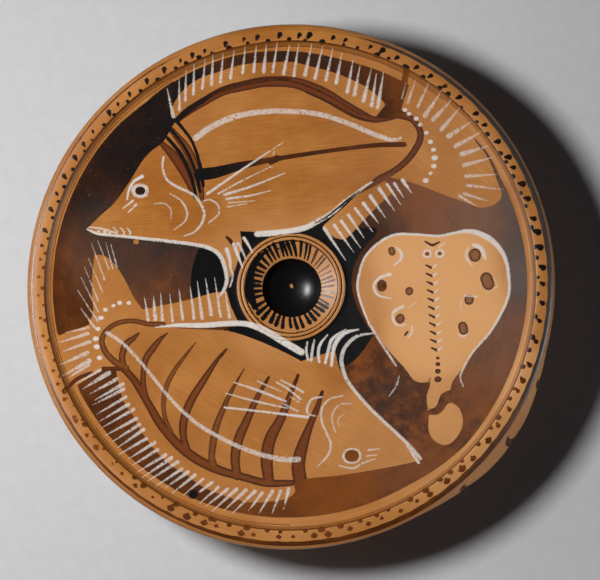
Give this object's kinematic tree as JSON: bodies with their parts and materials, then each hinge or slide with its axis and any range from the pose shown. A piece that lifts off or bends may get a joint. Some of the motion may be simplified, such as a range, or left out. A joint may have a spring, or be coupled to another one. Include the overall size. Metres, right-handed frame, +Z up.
{
  "type": "fish plate",
  "caption": "Round terracotta fish plate with a turned-down rim, a small central sauce well and a pedestal foot, painted with fish.",
  "frame": {"origin": "centre of the foot's flat underside, on the surface the plate stands on", "axes": "+Z up through the middle of the plate, +X and +Y the right and the top of the painted picture seen from above"},
  "size_m": [0.2598, 0.26, 0.0582],
  "materials": {
    "terracotta": "satin"
  },
  "bodies": {
    "root": {"fish_plate": "terracotta"}
  },
  "joints": []
}
